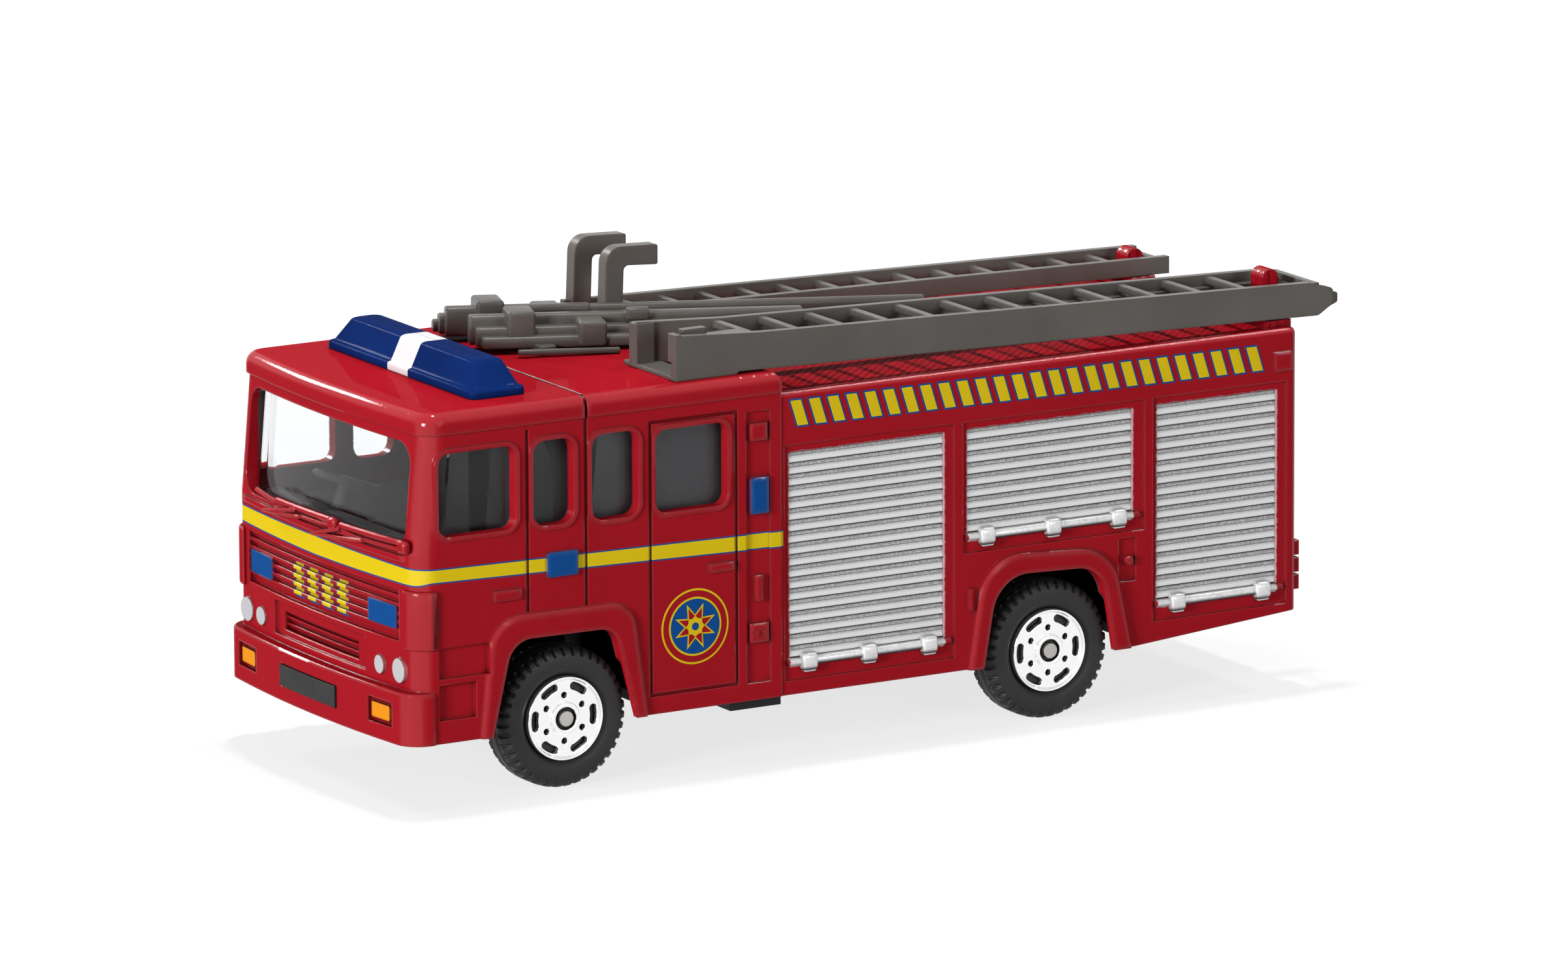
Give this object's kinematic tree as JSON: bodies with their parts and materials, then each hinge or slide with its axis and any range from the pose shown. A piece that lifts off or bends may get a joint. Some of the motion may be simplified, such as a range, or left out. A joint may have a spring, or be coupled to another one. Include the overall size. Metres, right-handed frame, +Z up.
{
  "type": "die-cast toy fire engine",
  "caption": "Die-cast toy fire engine with a hollow cab, side roller shutters, roof ladders, a light bar and free-turning wheelsets.",
  "frame": {"origin": "on the ground under the middle of the toy's bounding box", "axes": "+X points forward along the toy, +Y to its left, +Z up"},
  "size_m": [0.1238, 0.0432, 0.0539],
  "materials": {
    "red_enamel": "gloss red enamel over a zinc casting",
    "black_plastic": "satin moulded black plastic",
    "clear_plastic": "clear moulded plastic",
    "cab_grey_plastic": "satin dark grey plastic",
    "navy_plastic": "gloss navy plastic with a white band",
    "roof_grey_plastic": "satin warm grey plastic",
    "axle_steel": "plain drawn steel rod",
    "hub_chrome": "vacuum-plated chrome",
    "tyre_rubber": "black moulded tyre"
  },
  "bodies": {
    "body": {"body_casting": "red_enamel", "baseplate": "black_plastic", "window_glazing": "clear_plastic", "cab_interior": "cab_grey_plastic", "light_bar": "navy_plastic", "ladder_extension": "roof_grey_plastic", "ladder_hook": "roof_grey_plastic", "hose_bundles": "roof_grey_plastic"},
    "front_wheelset": {"axle_front": "axle_steel", "hub_front_left": "hub_chrome", "tyre_front_left": "tyre_rubber", "hub_front_right": "hub_chrome", "tyre_front_right": "tyre_rubber"},
    "rear_wheelset": {"axle_rear": "axle_steel", "hub_rear_left": "hub_chrome", "tyre_rear_left": "tyre_rubber", "hub_rear_right": "hub_chrome", "tyre_rear_right": "tyre_rubber"}
  },
  "joints": [
    {"name": "front_axle_spin", "type": "hinge", "parent": "body", "child": "front_wheelset", "pos_m": [0.04021, 0, 0.008], "axis": [0, 1, 0], "continuous": true},
    {"name": "rear_axle_spin", "type": "hinge", "parent": "body", "child": "rear_wheelset", "pos_m": [-0.0226, 0, 0.008], "axis": [0, 1, 0], "continuous": true}
  ]
}
